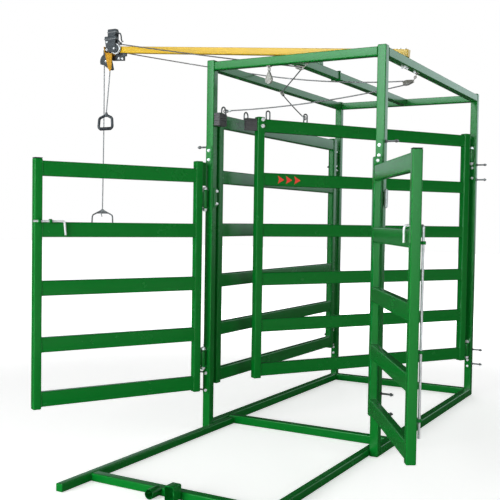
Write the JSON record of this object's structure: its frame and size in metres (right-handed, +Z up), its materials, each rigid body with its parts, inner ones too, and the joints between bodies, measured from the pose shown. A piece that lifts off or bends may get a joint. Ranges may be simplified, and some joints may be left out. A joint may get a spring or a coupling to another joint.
{
  "type": "cattle drafting gate",
  "caption": "Overhead steel tube frame on skids with two wing gates at its mouth, a side gate and a centre gate inside, and a sloping pull boom with ropes, pulleys and handles.",
  "frame": {"origin": "under the middle of the sill that ties the base rails just behind the front posts, at ground level", "axes": "+X across the mouth to the right as seen from the front, +Y from the mouth to the back posts, +Z up"},
  "size_m": [2.8828, 3.33, 2.622],
  "materials": {
    "green_paint": "satin",
    "yellow_paint": "satin",
    "zinc": "satin",
    "dark_steel": "satin",
    "black_plastic": "matte",
    "black_rubber": "matte",
    "wire_rope": "satin"
  },
  "bodies": {
    "frame": {"base_rail_back": "green_paint", "base_rail_left": "green_paint", "base_rail_right": "green_paint", "boom": "yellow_paint", "boom_head_block_drum": "black_plastic", "boom_head_block_foot": "black_plastic", "boom_head_block_front": "black_plastic", "boom_head_block_rear": "black_plastic", "boom_head_plate": "yellow_paint", "boom_saddle": "green_paint", "handle_d": "black_plastic", "handle_stirrup": "dark_steel", "hinge_bracket_back_left_lower": "green_paint", "hinge_bracket_back_left_upper": "green_paint", "hinge_bracket_back_right_lower": "green_paint", "hinge_bracket_back_right_upper": "green_paint", "hinge_bracket_front_left_lower": "green_paint", "hinge_bracket_front_left_upper": "green_paint", "hinge_bracket_front_right_lower": "green_paint", "hinge_bracket_front_right_upper": "green_paint", "hitch_bracket": "green_paint", "hitch_socket": "dark_steel", "post_back_left": "green_paint", "post_back_right": "green_paint", "post_front_left": "green_paint", "post_front_right": "green_paint", "pulley_front": "zinc", "pulley_left": "zinc", "pulley_right": "zinc", "pulley_spare": "zinc", "rope_centre": "wire_rope", "rope_drop_front": "wire_rope", "rope_drop_rear": "wire_rope", "rope_side": "wire_rope", "side_post_stop": "black_rubber", "sill_middle": "green_paint", "skid_cross_bar": "green_paint", "skid_left": "green_paint", "skid_right": "green_paint", "top_rail_back": "green_paint", "top_rail_front": "green_paint", "top_rail_left": "green_paint", "top_rail_middle": "green_paint", "top_rail_right": "green_paint"},
    "centre_gate": {"centre_gate": "green_paint", "centre_gate_stop": "black_rubber"},
    "left_bolt": {"left_slide_bolt": "zinc"},
    "left_wing": {"left_wing_gate": "green_paint"},
    "right_rod": {"right_drop_rod": "zinc"},
    "right_wing": {"right_wing_gate": "green_paint"},
    "side_gate": {"side_gate": "green_paint"}
  },
  "joints": [
    {"name": "left_wing_hinge", "type": "hinge", "parent": "frame", "child": "left_wing", "pos_m": [-0.55, -0.294, 0.9], "axis": [0, 0, 1], "range_deg": [-62.3, 27.7]},
    {"name": "left_bolt_slide", "type": "slide", "parent": "left_wing", "child": "left_bolt", "axis": [-0.4648, -0.8854, 0], "range_m": [0, 0.05]},
    {"name": "right_wing_hinge", "type": "hinge", "parent": "frame", "child": "right_wing", "pos_m": [0.538, -0.294, 0.9], "axis": [0, 0, -1], "range_deg": [-58.5, 31.5]},
    {"name": "right_rod_lift", "type": "slide", "parent": "right_wing", "child": "right_rod", "axis": [0, 0, 1], "range_m": [0, 0.15]},
    {"name": "side_gate_hinge", "type": "hinge", "parent": "frame", "child": "side_gate", "pos_m": [-0.545, 1.636, 1], "axis": [0, 0, -1], "range_deg": [0, 90]},
    {"name": "centre_gate_hinge", "type": "hinge", "parent": "frame", "child": "centre_gate", "pos_m": [0.545, 1.636, 1], "axis": [0, 0, 1], "range_deg": [0, 30.75]}
  ]
}
